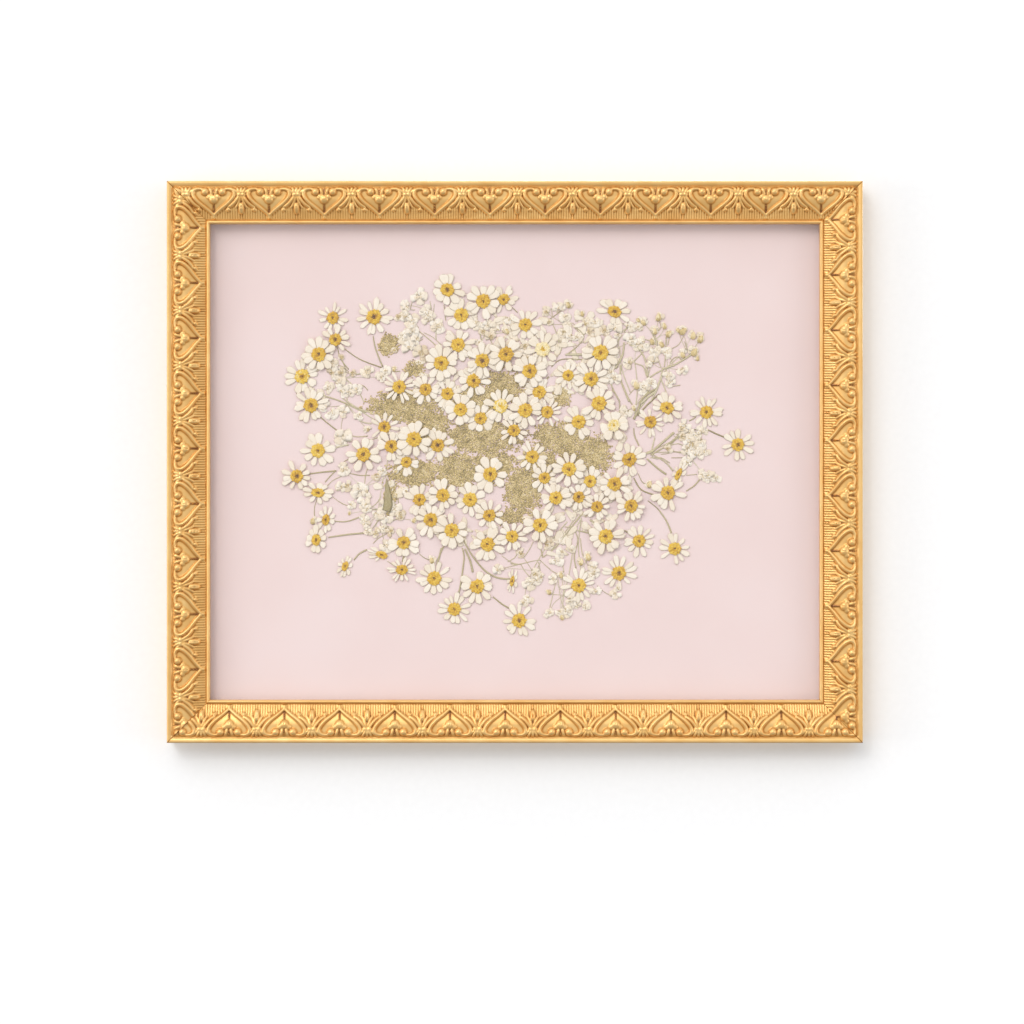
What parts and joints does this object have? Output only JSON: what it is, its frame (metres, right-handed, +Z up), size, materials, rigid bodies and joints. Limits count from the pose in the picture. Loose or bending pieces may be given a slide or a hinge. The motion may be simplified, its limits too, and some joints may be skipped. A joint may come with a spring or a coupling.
{
  "type": "pressed flower frame",
  "caption": "Wall-hung gilt ornamental frame, glazed, holding a pressed posy of daisies and small filler flowers on pink card.",
  "frame": {"origin": "on the wall plane, level with the hanger notch that the wall nail bears in, midway across", "axes": "+Z up, +X to the viewer's right, the picture faces -Y and +Y points into the wall"},
  "size_m": [0.3962, 0.0216, 0.32],
  "materials": {
    "gilt_moulding": "gilded gesso ornament over wood, warm brown patina in the recesses",
    "glass": "clear picture glass",
    "pink_card": "matt pale pink mounting card",
    "hardboard": "brown hardboard, smooth",
    "plated_steel": "zinc plated",
    "bumper": "translucent soft bumper",
    "dried_sprays": "dry pressed stems, umbels and small cream florets",
    "dried_petals": "dry pressed cream petals around a yellow disc"
  },
  "bodies": {
    "root": {"backing_board": "hardboard", "backing_card": "pink_card", "bumper_left": "bumper", "bumper_right": "bumper", "daisy_01": "dried_petals", "daisy_02": "dried_petals", "daisy_03": "dried_petals", "daisy_04": "dried_petals", "daisy_05": "dried_petals", "daisy_06": "dried_petals", "daisy_07": "dried_petals", "daisy_08": "dried_petals", "daisy_09": "dried_petals", "daisy_10": "dried_petals", "daisy_11": "dried_petals", "daisy_12": "dried_petals", "daisy_13": "dried_petals", "daisy_14": "dried_petals", "daisy_15": "dried_petals", "daisy_16": "dried_petals", "daisy_17": "dried_petals", "daisy_18": "dried_petals", "daisy_19": "dried_petals", "daisy_20": "dried_petals", "daisy_21": "dried_petals", "daisy_22": "dried_petals", "daisy_23": "dried_petals", "daisy_24": "dried_petals", "daisy_25": "dried_petals", "daisy_26": "dried_petals", "daisy_27": "dried_petals", "daisy_28": "dried_petals", "glass_pane": "glass", "hanger_nail_1": "plated_steel", "hanger_nail_2": "plated_steel", "point_bottom_1": "plated_steel", "point_bottom_2": "plated_steel", "point_bottom_3": "plated_steel", "point_left_1": "plated_steel", "point_left_2": "plated_steel", "point_right_1": "plated_steel", "point_right_2": "plated_steel", "point_top_1": "plated_steel", "point_top_2": "plated_steel", "point_top_3": "plated_steel", "rail_bottom": "gilt_moulding", "rail_left": "gilt_moulding", "rail_right": "gilt_moulding", "rail_top": "gilt_moulding", "sawtooth_hanger": "plated_steel", "spray_centre": "dried_sprays", "spray_lower": "dried_sprays", "spray_lower_left": "dried_sprays", "spray_right": "dried_sprays", "spray_upper_left": "dried_sprays", "v_nail_bottom_left": "plated_steel", "v_nail_bottom_right": "plated_steel", "v_nail_top_left": "plated_steel", "v_nail_top_right": "plated_steel"}
  },
  "joints": []
}
